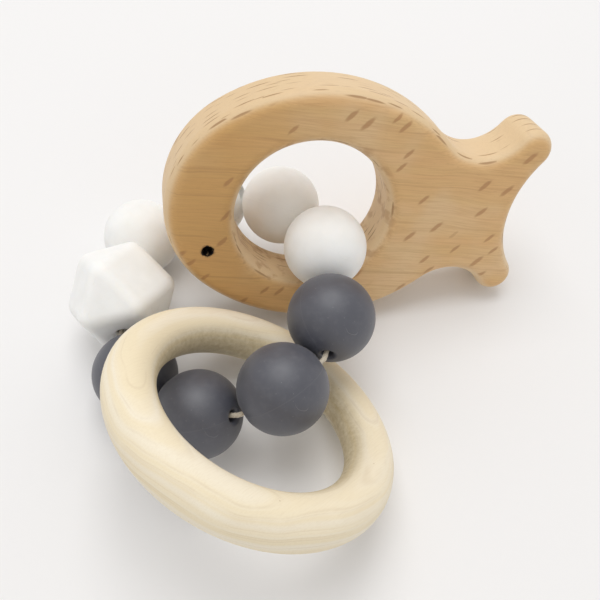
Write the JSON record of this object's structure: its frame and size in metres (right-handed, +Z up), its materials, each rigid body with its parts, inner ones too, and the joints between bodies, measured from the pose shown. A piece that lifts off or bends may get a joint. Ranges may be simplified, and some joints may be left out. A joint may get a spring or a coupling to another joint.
{
  "type": "teething ring",
  "caption": "Wooden fish with a large round hole and a plain wooden ring, both held on a closed loop of round silicone beads and a faceted bead.",
  "frame": {"origin": "middle of the toy's outline on the table, at table height", "axes": "+Z up; +X to the fish's tail; -Y towards the side from which the fish's face and the ring in front of it are seen"},
  "size_m": [0.0876, 0.0791, 0.0455],
  "materials": {
    "beech": "sanded and oiled beech, matte, with ray flecks",
    "pale_wood": "sanded pale wood, unfinished look, fine grain",
    "grey_silicone": "moulded food-grade silicone, matte and slightly dusty",
    "white_silicone": "moulded food-grade silicone, matte",
    "waxed_cord": "twisted waxed cotton cord"
  },
  "bodies": {
    "strand": {"cord": "waxed_cord", "cord_knot": "waxed_cord"},
    "fish": {"fish_teether": "beech"},
    "ring": {"wooden_ring": "pale_wood"},
    "white_bead_1_body": {"white_bead_1": "white_silicone"},
    "white_bead_2_body": {"white_bead_2": "white_silicone"},
    "white_bead_3_body": {"white_bead_3": "white_silicone"},
    "white_bead_4_body": {"white_bead_4": "white_silicone"},
    "grey_bead_1_body": {"grey_bead_1": "grey_silicone"},
    "grey_bead_2_body": {"grey_bead_2": "grey_silicone"},
    "grey_bead_3_body": {"grey_bead_3": "grey_silicone"},
    "grey_bead_4_body": {"grey_bead_4": "grey_silicone"},
    "faceted_bead_body": {"faceted_bead": "white_silicone"}
  },
  "joints": [
    {"name": "fish_swing", "type": "hinge", "parent": "strand", "child": "fish", "pos_m": [0.0007, 0.0219, 0.02277], "axis": [0.1791, -0.9301, 0.3206], "range_deg": [0, 150]},
    {"name": "ring_spin", "type": "hinge", "parent": "strand", "child": "ring", "pos_m": [-0.0077, -0.01665, 0.01584], "axis": [0.4174, 0.3934, 0.8192], "continuous": true},
    {"name": "white_bead_1_spin", "type": "hinge", "parent": "strand", "child": "white_bead_1_body", "pos_m": [-0.0322, 0.02575, 0.0075], "axis": [0.523, 0.8462, -0.1019], "continuous": true},
    {"name": "white_bead_2_spin", "type": "hinge", "parent": "strand", "child": "white_bead_2_body", "pos_m": [-0.0188, 0.032, 0.0114], "axis": [0.94, -0.0093, 0.3411], "continuous": true},
    {"name": "white_bead_3_spin", "type": "hinge", "parent": "strand", "child": "white_bead_3_body", "pos_m": [-0.0043, 0.028, 0.0152], "axis": [0.8111, -0.5226, 0.2626], "continuous": true},
    {"name": "white_bead_4_spin", "type": "hinge", "parent": "strand", "child": "white_bead_4_body", "pos_m": [0.00395, 0.01495, 0.01875], "axis": [0.1203, -0.9927, 0], "continuous": true},
    {"name": "grey_bead_1_spin", "type": "hinge", "parent": "strand", "child": "grey_bead_1_body", "pos_m": [0.0047, -0.00005, 0.0186], "axis": [-0.1146, -0.9932, 0.0215], "continuous": true},
    {"name": "grey_bead_2_spin", "type": "hinge", "parent": "strand", "child": "grey_bead_2_body", "pos_m": [-0.0033, -0.0128, 0.0173], "axis": [-0.8323, -0.4992, -0.2412], "continuous": true},
    {"name": "grey_bead_3_spin", "type": "hinge", "parent": "strand", "child": "grey_bead_3_body", "pos_m": [-0.0173, -0.0145, 0.0109], "axis": [-0.843, 0.2515, -0.4756], "continuous": true},
    {"name": "grey_bead_4_spin", "type": "hinge", "parent": "strand", "child": "grey_bead_4_body", "pos_m": [-0.0295, -0.0054, 0.0075], "axis": [-0.5141, 0.8453, 0.1458], "continuous": true},
    {"name": "faceted_bead_spin", "type": "hinge", "parent": "strand", "child": "faceted_bead_body", "pos_m": [-0.0336, 0.00956, 0.0102], "axis": [-0.1609, 0.9857, 0.0503], "continuous": true}
  ]
}
